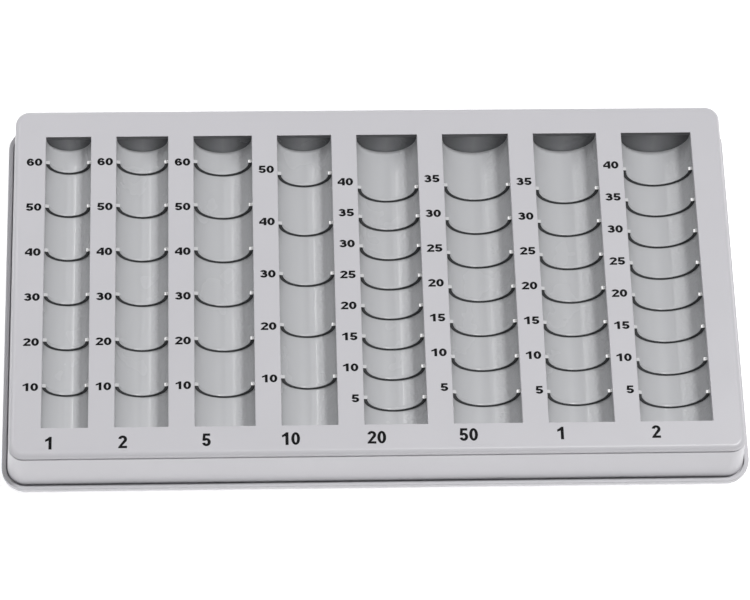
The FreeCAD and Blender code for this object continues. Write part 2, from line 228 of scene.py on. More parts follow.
def makeToneGroup():
    # slow drift of colour over a moulding, with faint cloudy patches
    group, entry, result = newGroup(
        "colourDrift",
        [("Vector", "NodeSocketVector", (0, 0, 0)), ("Colour", "NodeSocketColor", (0.5, 0.5, 0.5, 1)),
         ("Amount", "NodeSocketFloat", 0.05)],
        [("Colour", "NodeSocketColor")])
    slow = noiseNode(group, entry.outputs["Vector"], drift["slowScale"], 2.0)
    quick = noiseNode(group, entry.outputs["Vector"], drift["quickScale"], 5.0, 0.6)
    both = mathNode(group, "ADD", mathNode(group, "MULTIPLY", slow, drift["slowShare"]),
                    mathNode(group, "MULTIPLY", quick, drift["quickShare"]))
    both = mathNode(group, "MULTIPLY", mathNode(group, "SUBTRACT", both, drift["middle"]),
                    entry.outputs["Amount"])
    tone = group.nodes.new("ShaderNodeHueSaturation")
    group.links.new(mathNode(group, "ADD", both, 1.0), tone.inputs["Value"])
    group.links.new(entry.outputs["Colour"], tone.inputs["Color"])
    group.links.new(tone.outputs["Color"], result.inputs["Colour"])
    return group


scratches = {"thin": (0.60, 0.72), "patchScale": 0.11, "patches": (0.45, 0.65)}


def makeScuffGroup():
    # thin scratches that run mostly one way, broken up by patches
    group, entry, result = newGroup(
        "scuffs",
        [("Vector", "NodeSocketVector", (0, 0, 0)), ("Amount", "NodeSocketFloat", 0.5)],
        [("Mask", "NodeSocketFloat")])
    lines = noiseNode(group, entry.outputs["Vector"], 1.0, 6.0, 0.65)
    thin = rangeNode(group, lines, *scratches["thin"], 0.0, 1.0)
    patches = group.nodes.new("ShaderNodeTexNoise")
    patches.inputs["Scale"].default_value = scratches["patchScale"]
    group.links.new(entry.outputs["Vector"], patches.inputs["Vector"])
    where = rangeNode(group, patches.outputs["Fac"], *scratches["patches"], 0.0, 1.0)
    mask = mathNode(group, "MULTIPLY", thin, where)
    group.links.new(mathNode(group, "MULTIPLY", mask, entry.outputs["Amount"]), result.inputs["Mask"])
    return group


grainGroup = makeGrainGroup()
toneGroup = makeToneGroup()
scuffGroup = makeScuffGroup()


def objectVector(tree, scale=(1, 1, 1), place=(0, 0, 0)):
    coordinates = tree.nodes.new("ShaderNodeTexCoord")
    mapping = tree.nodes.new("ShaderNodeMapping")
    mapping.inputs["Scale"].default_value = scale
    mapping.inputs["Location"].default_value = place
    tree.links.new(coordinates.outputs["Object"], mapping.inputs["Vector"])
    return mapping.outputs["Vector"]


def useGroup(tree, group, **values):
    node = tree.nodes.new("ShaderNodeGroup")
    node.node_tree = group
    for name, value in values.items():
        if isinstance(value, bpy.types.NodeSocket):
            tree.links.new(value, node.inputs[name])
        else:
            node.inputs[name].default_value = value
    return node


def newMaterial(name):
    material = bpy.data.materials.new(name)
    material.use_nodes = True
    return material, material.node_tree, material.node_tree.nodes["Principled BSDF"]


def addBump(tree, shader, height, strength, distance):
    bump = tree.nodes.new("ShaderNodeBump")
    bump.inputs["Strength"].default_value = strength
    bump.inputs["Distance"].default_value = distance
    tree.links.new(height, bump.inputs["Height"])
    tree.links.new(bump.outputs["Normal"], shader.inputs["Normal"])
    return bump


plastic = {"patchScale": 45.0, "scuffRoughness": 0.15, "bumpDepth": 0.02 * mm}
patchRange = (0.3, 0.7)    # values of a noise between which a material's roughness moves


def makePlastic(name, look):
    material, tree, shader = newMaterial(name)
    place = objectVector(tree)
    tone = useGroup(tree, toneGroup, Vector=place, Colour=(*look["colour"], 1), Amount=look["drift"])
    scratchVector = objectVector(tree, look["scratchScale"], look["place"])
    scuffs = useGroup(tree, scuffGroup, Vector=scratchVector, Amount=look["scuffs"])
    mix = tree.nodes.new("ShaderNodeMix")
    mix.data_type = "RGBA"
    tree.links.new(scuffs.outputs["Mask"], mix.inputs["Factor"])
    tree.links.new(tone.outputs["Colour"], mix.inputs["A"])
    mix.inputs["B"].default_value = (*look["scuffColour"], 1)
    tree.links.new(mix.outputs["Result"], shader.inputs["Base Color"])
    patches = noiseNode(tree, place, plastic["patchScale"], 3.0)
    rough = rangeNode(tree, patches, *patchRange, *look["roughness"])
    scuffed = mathNode(tree, "MULTIPLY", scuffs.outputs["Mask"], plastic["scuffRoughness"])
    rough = mathNode(tree, "ADD", rough, scuffed)
    tree.links.new(rough, shader.inputs["Roughness"])
    shader.inputs["Specular IOR Level"].default_value = look["specular"]
    grain = useGroup(tree, grainGroup, Vector=place, Scale=look["grainScale"])
    height = mathNode(tree, "SUBTRACT", grain.outputs["Height"], scuffs.outputs["Mask"])
    addBump(tree, shader, height, look["grain"], plastic["bumpDepth"])
    return material


coverLook = {
    "colour": (0.575, 0.568, 0.598), "drift": 0.05, "roughness": (0.30, 0.38), "specular": 0.5,
    "grainScale": 2600.0, "grain": 0.15, "scuffs": 0.12, "scuffColour": (0.66, 0.65, 0.68),
    "scratchScale": (260, 900, 300), "place": (0, 0, 0),
}
troughLook = {
    "colour": (0.51, 0.515, 0.53), "drift": 0.04, "roughness": (0.24, 0.28), "specular": 0.5,
    "grainScale": 1500.0, "grain": 0.10, "scuffs": 0.0, "scuffColour": (0.66, 0.66, 0.67),
    "scratchScale": (1500, 160, 700), "place": (3, 7, 1),
}
panLook = {
    "colour": (0.565, 0.56, 0.585), "drift": 0.05, "roughness": (0.42, 0.52), "specular": 0.35,
    "grainScale": 2600.0, "grain": 0.35, "scuffs": 0.12, "scuffColour": (0.64, 0.63, 0.66),
    "scratchScale": (260, 900, 300), "place": (5, 2, 4),
}
padLook = {
    "colour": (0.045, 0.045, 0.047), "drift": 0.2, "roughness": (0.75, 0.9), "specular": 0.3,
    "grainScale": 1800.0, "grain": 0.6, "scuffs": 0.3, "scuffColour": (0.16, 0.16, 0.16),
    "scratchScale": (500, 500, 500), "place": (1, 1, 1),
}


def attributeNode(tree, name):
    node = tree.nodes.new("ShaderNodeAttribute")
    node.attribute_name = name
    return node.outputs["Fac"]


def mixOver(tree, socket, mask, colour):
    # lays a plain colour over what a socket takes now
    mix = tree.nodes.new("ShaderNodeMix")
    mix.data_type = "RGBA"
    tree.links.new(mask, mix.inputs["Factor"])
    tree.links.new(socket.links[0].from_socket, mix.inputs["A"])
    mix.inputs["B"].default_value = (*colour, 1)
    tree.links.new(mix.outputs["Result"], socket)


# colours of the painted shade and the painted highlight, and the bump of the wrinkles
paintedLightAndWrinkles = {
    "paintedShade": (0.006, 0.010, 0.011), "paintedGlint": (0.93, 0.93, 0.93),
    "flank": (0.30, 0.50),     # of the radius, from the middle to the right
    "wrinkleScale": (700, 1000, 700), "wrinkleDepth": 0.35 * mm,
}


def addPaintedLight(material, attribute, colour):
    # paints a plain colour where the mesh has the attribute: painted shade or a painted highlight
    tree = material.node_tree
    mixOver(tree, tree.nodes["Principled BSDF"].inputs["Base Color"], attributeNode(tree, attribute), colour)


def addWrinkles(material):
    # crinkled flank at a trough's right
    tree = material.node_tree
    shader = tree.nodes["Principled BSDF"]
    flank = rangeNode(tree, attributeNode(tree, "flank"), *paintedLightAndWrinkles["flank"], 0.0, 1.0)
    wrinkles = noiseNode(tree, objectVector(tree, paintedLightAndWrinkles["wrinkleScale"]), 1.0, 4.0, 0.6)
    before = shader.inputs["Normal"].links[0].from_socket
    bump = addBump(tree, shader, mathNode(tree, "MULTIPLY", wrinkles, flank), 1.0, paintedLightAndWrinkles["wrinkleDepth"])
    tree.links.new(before, bump.inputs["Normal"])


coverPlastic = makePlastic("coverPlastic", coverLook)
# painted shade on the windows' back walls
addPaintedLight(coverPlastic, "frontShade", paintedLightAndWrinkles["paintedShade"])
troughPlastic = makePlastic("troughPlastic", troughLook)
# painted shade on the troughs' front faces and rib feet
addPaintedLight(troughPlastic, "frontShade", paintedLightAndWrinkles["paintedShade"])
# painted highlight on the ribs' ends
addPaintedLight(troughPlastic, "paintedGlintEnd", paintedLightAndWrinkles["paintedGlint"])
addWrinkles(troughPlastic)
panPlastic = makePlastic("panPlastic", panLook)
padRubber = makePlastic("padRubber", padLook)


inkLook = {"colour": (0.005, 0.005, 0.006), "drift": 0.5, "speckleScale": 1800.0,
           "roughness": (0.45, 0.65), "specular": 0.1}
zincLook = {"colour": (0.62, 0.62, 0.60), "drift": 0.4, "patchScale": 900.0, "roughness": (0.25, 0.45),
            "grainScale": 4000.0, "grain": 0.3, "bumpDepth": 0.01 * mm}


def makeInk():
    material, tree, shader = newMaterial("printInk")
    place = objectVector(tree)
    tone = useGroup(tree, toneGroup, Vector=place, Colour=(*inkLook["colour"], 1), Amount=inkLook["drift"])
    tree.links.new(tone.outputs["Colour"], shader.inputs["Base Color"])
    speckle = noiseNode(tree, place, inkLook["speckleScale"], 2.0)
    tree.links.new(rangeNode(tree, speckle, *patchRange, *inkLook["roughness"]), shader.inputs["Roughness"])
    shader.inputs["Specular IOR Level"].default_value = inkLook["specular"]
    return material


def makeZinc():
    material, tree, shader = newMaterial("screwZinc")
    place = objectVector(tree)
    tone = useGroup(tree, toneGroup, Vector=place, Colour=(*zincLook["colour"], 1), Amount=zincLook["drift"])
    tree.links.new(tone.outputs["Colour"], shader.inputs["Base Color"])
    patches = noiseNode(tree, place, zincLook["patchScale"], 4.0)
    tree.links.new(rangeNode(tree, patches, *patchRange, *zincLook["roughness"]), shader.inputs["Roughness"])
    shader.inputs["Metallic"].default_value = 1.0
    grain = useGroup(tree, grainGroup, Vector=place, Scale=zincLook["grainScale"])
    addBump(tree, shader, grain.outputs["Height"], zincLook["grain"], zincLook["bumpDepth"])
    return material


printInk = makeInk()
screwZinc = makeZinc()
print("materials made")


def finishPiece(piece, material, body, nodes):
    piece.data.materials.clear()
    piece.data.materials.append(material)
    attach(piece, body)
    if nodes:
        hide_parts(*nodes)


# Troughs: one outline along the trough, spun half round its axis
trough = {
    "flange": 4.0 * mm,
    "flangeThickness": 1.4 * mm,
    "wall": 1.5 * mm,
    "earLength": 6.6 * mm,
    "earWidth": 8.0 * mm,
    "earThickness": 2.0 * mm,
    "earTop": 5.5 * mm,        # below the flange's top
    "earRound": 2.4 * mm,
    "holeRadius": 1.2 * mm,
    "ribWidth": 1.3 * mm,
    "ribHeight": 1.4 * mm,
    "ribRound": 0.22 * mm,
    "ribFoot": 0.30 * mm,      # strip in front of a rib that gets painted shade
    "ribSlant": 0.25 * mm,     # how much lower a rib's end lies on its inner side
    "endRound": 0.25 * mm,
    "steps": 72,
    "facing": 0.8,             # least share of a normal for a face to count as a front or an end
    # painted shade on the fronts, and a painted highlight on the ribs' ends, from 0 to 1
    "ribShade": 0.97, "footShade": 0.90, "wallShade": 0.34, "wallRimShade": 0.85,
    "glintRight": 1.0, "glintLeft": 0.35,
}
cells = {  # from the front wall to the first rib, and how many ribs
    "1_cent": (17.0 * mm, 6), "2_cent": (17.0 * mm, 6),
    "5_cent": (17.0 * mm, 6), "10_cent": (19.6 * mm, 5),
    "20_cent": (11.0 * mm, 8), "50_cent": (12.85 * mm, 7),
    "1_euro": (12.6 * mm, 7), "2_euro": (11.85 * mm, 8),
}


def windowOf(coin):
    # left, right, front and back edge of a window, and the level of the trough's axis
    low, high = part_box("coin_trough_" + coin)
    ends = trough["earLength"] + trough["wall"]
    return (low.x + trough["flange"], high.x - trough["flange"], low.y + ends, high.y - ends, high.z)


def traceOutline(name, points):
    # one vertex drawn out from point to point and closed
    bpy.ops.mesh.primitive_plane_add(size=mm, location=(0, 0, 0))
    piece = bpy.context.object
    piece.name = piece.data.name = name
    bpy.ops.object.mode_set(mode="EDIT")
    bpy.ops.mesh.select_mode(type="VERT")
    bpy.ops.mesh.select_all(action="SELECT")
    bpy.ops.mesh.merge(type="CENTER")
    bpy.ops.transform.translate(value=points[0])
    for here, there in zip(points, points[1:] + points[:1]):
        bpy.ops.mesh.extrude_region_move(TRANSFORM_OT_translate={"value": there - here})
    bpy.ops.mesh.select_all(action="SELECT")
    bpy.ops.mesh.remove_doubles(threshold=1e-6)
    return piece


def troughOutline(middle, radius, front, back, level, cell, ribs):
    wall = trough["wall"]
    points = [(0, front - wall), (0, front), (radius, front)]
    rib = front + cell
    for _ in range(ribs):
        top = radius - trough["ribHeight"]
        points += [(radius, rib - trough["ribFoot"]), (radius, rib), (top, rib)]
        points += [(top, rib + trough["ribWidth"]), (radius, rib + trough["ribWidth"])]
        rib += cell + trough["ribWidth"]
    points += [(radius, back), (0, back), (0, back + wall), (radius + wall, back + wall)]
    points.append((radius + wall, front - wall))
    return [Vector((middle + out, along, level)) for out, along in points]


def makeEar():
    # an ear with its hole, centred on the screw, top at zero
    bpy.ops.mesh.primitive_cube_add(size=1, location=(0, 0, -trough["earThickness"] / 2))
    ear = bpy.context.object
    ear.scale = (trough["earWidth"], trough["earLength"], trough["earThickness"])
    settle()
    startEdit(ear)
    pick("EDGE", lambda edge: near(edge.verts[0].co.x, edge.verts[1].co.x)
         and near(edge.verts[0].co.y, edge.verts[1].co.y) and edge.verts[0].co.y > 0)
    bpy.ops.mesh.bevel(offset=trough["earRound"], segments=6)
    endEdit()
    bpy.ops.mesh.primitive_cylinder_add(vertices=32, radius=trough["holeRadius"], depth=10 * mm)
    hole = bpy.context.object
    cutWith(ear, [hole])
    return ear


def addEars(piece, ear, middle, front, back, level):
    shift = trough["wall"] + trough["earLength"] / 2
    top = level - trough["earTop"]
    behind = copyPiece(ear, (middle, back + shift, top))
    ahead = copyPiece(ear, (middle, front - shift, top), math.pi)
    return joinPieces(piece, [behind, ahead], piece.name)


def paintTrough(piece, middle, radius, back, level):
    # values on the mesh that the trough's material reads: painted shade on the end wall, the rib fronts and
    # the rib feet, a painted highlight on the ribs' ends, and the flank for the wrinkles
    mesh = piece.data
    for name, domain in (("frontShade", "CORNER"), ("paintedGlintEnd", "CORNER"), ("flank", "POINT")):
        mesh.attributes.new(name, "FLOAT", domain)
    shade, paintedGlint, flank = (mesh.attributes[name] for name in ("frontShade", "paintedGlintEnd", "flank"))
    for index, vert in enumerate(mesh.vertices):
        flank.data[index].value = (vert.co.x - middle) / radius
    for face in mesh.polygons:
        out = face.center.x - middle
        reach = math.hypot(out, face.center.z - level) / radius
        isFront = face.normal.y < -trough["facing"] and reach < 1
        onWall = isFront and near(face.center.y, back, 1e-4)
        along = [mesh.vertices[index].co.y for index in face.vertices]
        isFoot = near(max(along) - min(along), trough["ribFoot"]) and 0.97 < reach < 1
        isEnd = (face.normal.z > trough["facing"] and face.center.z > level - trough["ribHeight"]
                 and abs(out) < radius)
        for corner in face.loop_indices:
            place = mesh.vertices[mesh.loops[corner].vertex_index].co
            # painted shade: the end wall, darker towards its rim at the sides; the rib fronts; a strip at
            # each rib's foot
            if onWall:
                away = math.hypot(place.x - middle, place.z - level) / radius
                sideways = abs(place.x - middle) / radius
                rim = trough["wallShade"] + (trough["wallRimShade"] - trough["wallShade"]) * sideways
                shade.data[corner].value = rim if away > 0.9 else trough["wallShade"]
            elif isFront:
                shade.data[corner].value = trough["ribShade"]
            elif isFoot:
                shade.data[corner].value = trough["footShade"] if near(place.y, max(along)) else 0
            # painted highlight on the ribs' ends, brighter at the right end
            if isEnd:
                paintedGlint.data[corner].value = trough["glintRight"] if out > 0 else trough["glintLeft"]


def makeTrough(coin, ear):
    left, right, front, back, level = windowOf(coin)
    middle, radius = (left + right) / 2, (right - left) / 2
    cell, ribs = cells[coin]
    outline = troughOutline(middle, radius, front, back, level, cell, ribs)
    piece = traceOutline("trough_" + coin, outline)
    top = middle + radius - trough["ribHeight"]
    pick("VERT", lambda vert: near(vert.co.x, top))
    bpy.ops.mesh.bevel(offset=trough["ribRound"], segments=3, affect="VERTICES")
    pick("VERT", lambda vert: near(vert.co.x, middle + radius)
         and (near(vert.co.y, front) or near(vert.co.y, back)))
    bpy.ops.mesh.bevel(offset=trough["endRound"], segments=4, affect="VERTICES")
    bpy.ops.mesh.select_all(action="SELECT")
    bpy.ops.mesh.edge_face_add()
    for rib in range(ribs):
        # each rib gets a face of its own, so that its end can slant
        start = front + cell + rib * (cell + trough["ribWidth"])
        pick("VERT", lambda vert: near(vert.co.x, middle + radius)
             and (near(vert.co.y, start) or near(vert.co.y, start + trough["ribWidth"])))
        bpy.ops.mesh.vert_connect_path()
    bpy.ops.mesh.select_all(action="SELECT")
    bpy.ops.mesh.spin(steps=trough["steps"], angle=math.pi, center=(middle, 0, level), axis=(0, -1, 0))
    bpy.ops.mesh.select_all(action="SELECT")
    bpy.ops.mesh.remove_doubles(threshold=2e-6)
    bpy.ops.mesh.normals_make_consistent(inside=False)
    pick("VERT", lambda vert: near(vert.co.z, level) and front + 1e-4 < vert.co.y < back - 1e-4
         and radius - 1.1 * trough["ribHeight"] < abs(vert.co.x - middle) < radius - trough["ribHeight"] / 2)
    bpy.ops.transform.translate(value=(0, 0, -trough["ribSlant"]))
    # the flanges are drawn out of the topmost strips of the outer shell
    outer = radius + trough["wall"]
    for side in (1, -1):
        pick("FACE", lambda face: side * face.normal.x > 0.7
             and face.calc_center_median().z > level - trough["flangeThickness"]
             and side * (face.calc_center_median().x - middle) > outer * 0.97)
        reach = radius + trough["flange"] - outer
        bpy.ops.mesh.extrude_region_move(TRANSFORM_OT_translate={"value": (side * reach, 0, 0)})
        edge = Vector((middle + side * (radius + trough["flange"]), 0, 0))
        bpy.ops.transform.resize(value=(0, 1, 1), center_override=edge)
    endEdit()
    smoothFaces(piece, roundAngle)
    paintTrough(piece, middle, radius, back, level)
    piece = addEars(piece, ear, middle, front, back, level)
    finishPiece(piece, troughPlastic, "tray", ["coin_trough_" + coin])
    return piece


troughEar = makeEar()
for coin in coinNames:
    makeTrough(coin, troughEar)
bpy.data.objects.remove(troughEar, do_unlink=True)
print("troughs spun:", len(coinNames))

# Cover: a plate drawn in from the skirt's foot, rounded, cut into windows and given its wall
cover = {
    "flare": 1.8 * mm,
    "footCorner": 7.0 * mm,
    "edgeRound": 2.0 * mm,
    "wall": 2.2 * mm,
    "windowRound": 0.25 * mm,
    "footRound": 0.35 * mm,
    "creaseWidth": 0.55 * mm,  # fine line where the rounded edge meets the skirt
    "creaseDepth": 0.60 * mm,
    "creaseReach": 0.03 * mm,  # how far off its level an edge may lie
    "footBand": 0.4 * mm,      # what lies so near to the foot belongs to it
    "backShade": 0.75,         # painted shade on the back wall of a window
    "bossRadius": 2.75 * mm,
    "bossLength": 5.5 * mm,
    "socketRadius": 3.5 * mm,
    "socketBore": 2.4 * mm,
    "socketLength": 6.0 * mm,
    "socketPlace": (126.7 * mm, 64.65 * mm),
    "ink": 0.03 * mm,          # thickness of the printing, which keeps the deck that much lower
}
coverLow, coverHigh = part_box("deck_cover")
postX, postY = cover["socketPlace"]
postPlaces = ((-postX, -postY), (postX, -postY), (-postX, postY), (postX, postY))
deckTop = coverHigh.z - cover["ink"]
underside = coverHigh.z - cover["wall"]


def makeTube(outer, bore, length, place):
    # open cylinder given its wall inwards
    bpy.ops.mesh.primitive_cylinder_add(vertices=40, radius=outer, depth=length, end_fill_type="NOTHING",
                                        location=(place[0], place[1], place[2] - length / 2))
    tube = bpy.context.object
    settle()
    wall = tube.modifiers.new("wall", "SOLIDIFY")
    wall.thickness = outer - bore
    wall.offset = -1
    applyAll(tube)
    return tube


def makeCover():
    width, depth = coverHigh.x - coverLow.x, coverHigh.y - coverLow.y
    piece = addPlate("coverShell", width, depth, deckTop)
    startEdit(piece)
    bpy.ops.mesh.select_all(action="SELECT")
    bpy.ops.mesh.bevel(offset=cover["footCorner"], segments=14, affect="VERTICES")
    bpy.ops.mesh.select_all(action="SELECT")
    bpy.ops.mesh.inset(thickness=cover["flare"], depth=0)
    # the outer loop goes down to the foot, so the ring becomes the skirt
    pick("VERT", lambda vert: vert.is_boundary)
    bpy.ops.transform.translate(value=(0, 0, coverLow.z - deckTop))
    pick("EDGE", lambda edge: levelEdge(edge, deckTop))
    bpy.ops.mesh.bevel(offset=cover["edgeRound"], segments=8, profile=0.5)
    lines = []
    for coin in coinNames:
        left, right, front, back, _ = windowOf(coin)
        lines += [left, right]

    def splitDeck(place, across):
        pick("FACE", lambda face: near(face.calc_center_median().z, deckTop) and face.normal.z > 0.99)
        bpy.ops.mesh.bisect(plane_co=place, plane_no=across)

    for x in lines:
        splitDeck((x, 0, 0), (1, 0, 0))
    for y in (front, back):
        splitDeck((0, y, 0), (0, 1, 0))

    def inWindow(face):
        middle = face.calc_center_median()
        if not near(middle.z, deckTop) or not front < middle.y < back:
            return False
        return any(low < middle.x < high for low, high in zip(lines[::2], lines[1::2]))

    pick("FACE", inWindow)
    bpy.ops.mesh.delete(type="FACE")
    bpy.ops.mesh.select_all(action="SELECT")
    bpy.ops.mesh.normals_make_consistent(inside=False)
    endEdit()
    wall = piece.modifiers.new("wall", "SOLIDIFY")
    wall.thickness = cover["wall"] - cover["ink"]
    wall.offset = -1
    wall.use_even_offset = True
    applyAll(piece)
    startEdit(piece)
    pick("VERT", lambda vert: vert.co.z < coverLow.z + cover["footBand"])
    bpy.ops.transform.resize(value=(1, 1, 0), center_override=(0, 0, coverLow.z))

    def windowEdge(edge):
        if not levelEdge(edge, deckTop) or len(edge.link_faces) != 2:
            return False
        return any(abs(face.normal.z) < 0.3 for face in edge.link_faces)

    pick("EDGE", windowEdge)
    bpy.ops.mesh.bevel(offset=cover["windowRound"], segments=3)
    pick("EDGE", lambda edge: all(vert.co.z < coverLow.z + cover["footBand"] for vert in edge.verts)
         and len(edge.link_faces) == 2 and edge.calc_face_angle(0) > 1.0)
    bpy.ops.mesh.bevel(offset=cover["footRound"], segments=3)
    crease = deckTop - cover["edgeRound"] * math.cos(math.atan(cover["flare"] / (deckTop - coverLow.z)))

    def creaseEdge(edge):
        outward = all(face.normal.dot(edge.verts[0].co) > 0 for face in edge.link_faces)
        return outward and all(near(vert.co.z, crease, cover["creaseReach"]) for vert in edge.verts)

    pick("EDGE", creaseEdge)
    bpy.ops.mesh.bevel(offset=cover["creaseWidth"], segments=2)
    pick("EDGE", creaseEdge)
    bpy.ops.transform.shrink_fatten(value=-cover["creaseDepth"])
    endEdit()
    smoothFaces(piece)
    # painted shade on each window's back wall, which faces the front
    shade = piece.data.attributes.new("frontShade", "FLOAT", "CORNER")
    for face in piece.data.polygons:
        if face.normal.y < -0.8 and near(face.center.y, back, 1e-4) and face.center.z > underside:
            for corner in face.loop_indices:
                shade.data[corner].value = cover["backShade"]
    return piece


def makeCoverTubes():
    tubes = []
    for coin in coinNames:
        left, right, front, back, _ = windowOf(coin)
        shift = trough["wall"] + trough["earLength"] / 2
        for y in (front - shift, back + shift):
            tubes.append(makeTube(cover["bossRadius"], trough["holeRadius"], cover["bossLength"],
                                  ((left + right) / 2, y, underside)))
    for place in postPlaces:
        tubes.append(makeTube(cover["socketRadius"], cover["socketBore"], cover["socketLength"],
                              (*place, underside)))
    return tubes


coverTubes = makeCoverTubes()
for tube in coverTubes:
    smoothFaces(tube, roundAngle)
coverShell = joinPieces(makeCover(), coverTubes, "coverShell")
finishPiece(coverShell, coverPlastic, "tray", ["deck_cover"])
print("cover made:", len(coverShell.data.polygons), "faces")

# Base pan with its rim, posts and pad recesses
pan = {
    "rimHeight": 2.5 * mm,
    "rimWall": 1.4 * mm,
    "corner": 9.1 * mm,
    "floor": 1.2 * mm,
    "edgeRound": 0.5 * mm,
    "innerRound": 0.25 * mm,
    "sideLand": 0.35 * mm,     # how much nearer the rim comes to the cover at both ends
    "postRadius": 2.3 * mm,
    "postTip": 0.6 * mm,
    "postSink": 0.3 * mm,      # how far a post goes into the floor
    "recessRadius": 6.1 * mm,
    "recess": 0.6 * mm,
}
panLow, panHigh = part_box("base_pan")
padSides = ("front_left", "front_right", "back_left", "back_right")


def makePost(place, bottom, top):
    bpy.ops.mesh.primitive_cylinder_add(vertices=40, radius=pan["postRadius"], depth=top - bottom,
                                        location=(place[0], place[1], (top + bottom) / 2))
    post = bpy.context.object
    settle()
    startEdit(post)
    pick("EDGE", lambda edge: levelEdge(edge, top))
    bpy.ops.mesh.bevel(offset=pan["postTip"], segments=2)
    endEdit()
    return post


def makePan():
    width, depth = panHigh.x - panLow.x, panHigh.y - panLow.y
    rimTop = panLow.z + pan["rimHeight"]
    piece = addPlate("basePan", width, depth, panLow.z)
    startEdit(piece)
    bpy.ops.mesh.select_all(action="SELECT")
    bpy.ops.mesh.bevel(offset=pan["corner"], segments=16, affect="VERTICES")
    bpy.ops.mesh.select_all(action="SELECT")
    bpy.ops.mesh.extrude_region_move(TRANSFORM_OT_translate={"value": (0, 0, pan["rimHeight"])})
    bpy.ops.mesh.inset(thickness=pan["rimWall"], depth=0)
    inner = width / 2 - pan["rimWall"]
    bpy.ops.transform.resize(value=((inner - pan["sideLand"]) / inner, 1, 1), center_override=(0, 0, 0))
    sink = pan["floor"] - pan["rimHeight"]
    bpy.ops.mesh.extrude_region_move(TRANSFORM_OT_translate={"value": (0, 0, sink)})
    bpy.ops.mesh.select_all(action="SELECT")
    bpy.ops.mesh.normals_make_consistent(inside=False)

    def sideFaces(edge):
        return [face for face in edge.link_faces if abs(face.normal.z) < 0.1]

    def outerEdge(edge):
        level = levelEdge(edge, rimTop) or levelEdge(edge, panLow.z)
        return level and any(face.normal.dot(edge.verts[0].co) > 0 for face in sideFaces(edge))

    pick("EDGE", outerEdge)
    bpy.ops.mesh.bevel(offset=pan["edgeRound"], segments=4)
    pick("EDGE", lambda edge: levelEdge(edge, rimTop) and sideFaces(edge))
    bpy.ops.mesh.bevel(offset=pan["innerRound"], segments=3)
    endEdit()
    cutters = []
    for side in padSides:
        low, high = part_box("foot_pad_" + side)
        bpy.ops.mesh.primitive_cylinder_add(
            vertices=64, radius=pan["recessRadius"], depth=2 * pan["recess"],
            location=((low.x + high.x) / 2, (low.y + high.y) / 2, panLow.z))
        cutters.append(bpy.context.object)
    cutWith(piece, cutters)
    floorTop = panLow.z + pan["floor"]
    posts = [makePost(place, floorTop - pan["postSink"], panHigh.z - cover["ink"]) for place in postPlaces]
    for post in posts:
        smoothFaces(post, roundAngle)
    smoothFaces(piece)
    return joinPieces(piece, posts, "basePan")


basePan = makePan()
finishPiece(basePan, panPlastic, "base", ["base_pan"])
print("base pan made:", len(basePan.data.polygons), "faces")

# Soft pads: a disc with a rounded lower edge and a shallow ring pressed into its face
pads = {"round": 0.25 * mm, "ringOut": 1.6 * mm, "ringWidth": 0.7 * mm, "ringDepth": 0.2 * mm}


def makePad(side):
    low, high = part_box("foot_pad_" + side)
    bpy.ops.mesh.primitive_cylinder_add(vertices=64, radius=(high.x - low.x) / 2, depth=high.z - low.z,
                                        location=(low + high) / 2)
    piece = bpy.context.object
    piece.name = piece.data.name = "pad_" + side
    settle()
    startEdit(piece)
    pick("EDGE", lambda edge: levelEdge(edge, low.z))
    bpy.ops.mesh.bevel(offset=pads["round"], segments=4)
    pick("FACE", lambda face: face.normal.z < -0.99 and near(face.calc_center_median().z, low.z))
    bpy.ops.mesh.inset(thickness=pads["ringOut"], depth=0)
    bpy.ops.mesh.inset(thickness=pads["ringWidth"], depth=-pads["ringDepth"])
    bpy.ops.mesh.inset(thickness=pads["ringWidth"], depth=pads["ringDepth"])
    endEdit()
    smoothFaces(piece)
    finishPiece(piece, padRubber, "base", ["foot_pad_" + side])


for side in padSides:
    makePad(side)
print("pads made")

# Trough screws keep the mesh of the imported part
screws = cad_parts["trough_screws"]
screws.data.materials.clear()
screws.data.materials.append(screwZinc)

# Printing: counts beside the ribs, and each coin's value in front of its window
printing = {
    "height": 3.12 * mm,       # of the counts' figures
    "valueHeight": 4.95 * mm,  # of the coins' values
    "spread": 0.34,            # per metre: a count lies back by this times its squared way from the middle
    "sink": 0.35 * mm,         # how much nearer to the front all counts lie
}
wideFace = {"width": 0.90, "stem": 0.32, "bar": 0.23, "gap": 0.06}      # all against the height
plainFace = {"width": 0.64, "stem": 0.225, "bar": 0.185, "gap": 0.08}
counts = {  # step, middle line of the first count, distance to the next, room to the window
    "1_cent": (10, -43.6 * mm, 18.4 * mm, 1.25 * mm), "2_cent": (10, -43.6 * mm, 18.4 * mm, 1.25 * mm),
    "5_cent": (10, -43.5 * mm, 18.3 * mm, 1.25 * mm), "10_cent": (10, -41.1 * mm, 21.45 * mm, 1.35 * mm),
    "20_cent": (5, -49.4 * mm, 12.65 * mm, 1.7 * mm), "50_cent": (5, -45.3 * mm, 14.25 * mm, 1.65 * mm),
    "1_euro": (5, -46.8 * mm, 14.25 * mm, 1.5 * mm), "2_euro": (5, -47.1 * mm, 13.2 * mm, 1.75 * mm),
}
values = {  # figures, left edge against the window's left edge, foot of the figures
    "1_cent": ("1", 1.35 * mm, -67.8 * mm), "2_cent": ("2", 1.40 * mm, -67.6 * mm),
    "5_cent": ("5", 2.55 * mm, -67.2 * mm), "10_cent": ("10", -0.3 * mm, -67.1 * mm),
    "20_cent": ("20", 0.85 * mm, -66.95 * mm), "50_cent": ("50", 1.65 * mm, -66.3 * mm),
    "1_euro": ("1", 2.5 * mm, -66.15 * mm), "2_euro": ("2", 3.7 * mm, -66.0 * mm),
}


def bow(x, y, across, up, start, end, steps=14):
    # points on an ellipse, from one angle to the other
    turns = [math.radians(start + (end - start) * step / steps) for step in range(steps + 1)]
    return [(x + across * math.cos(turn), y + up * math.sin(turn)) for turn in turns]


